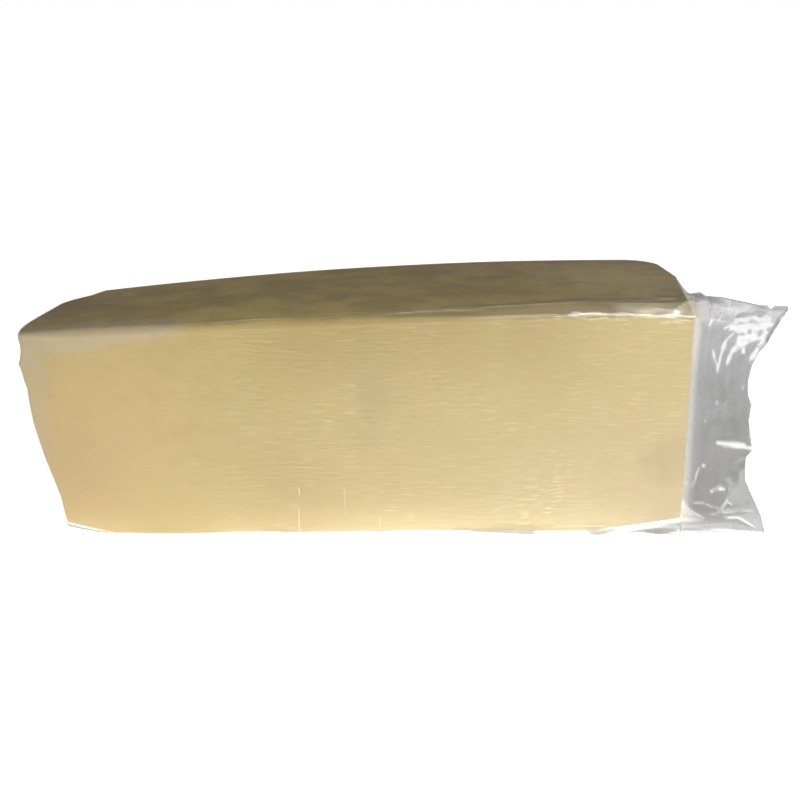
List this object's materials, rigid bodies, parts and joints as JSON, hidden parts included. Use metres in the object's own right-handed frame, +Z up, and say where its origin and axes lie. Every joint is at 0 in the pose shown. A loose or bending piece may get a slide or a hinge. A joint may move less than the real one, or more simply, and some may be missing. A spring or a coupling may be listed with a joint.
{
  "type": "emmental block in a clear bag",
  "caption": "Long cut block of pale yellow emmental, sealed in a tight clear shrink bag with a crumpled film tail at one end.",
  "frame": {"origin": "on the flat underside, below the middle of the top edge of the cut face and 46 mm behind that face", "axes": "+X along the block towards the film tail, +Y away from the large cut face, +Z up"},
  "size_m": [0.364, 0.1214, 0.1138],
  "materials": {
    "cheese": "satin",
    "film": "glossy"
  },
  "bodies": {
    "root": {"bagged_emmental": "cheese"}
  },
  "joints": []
}
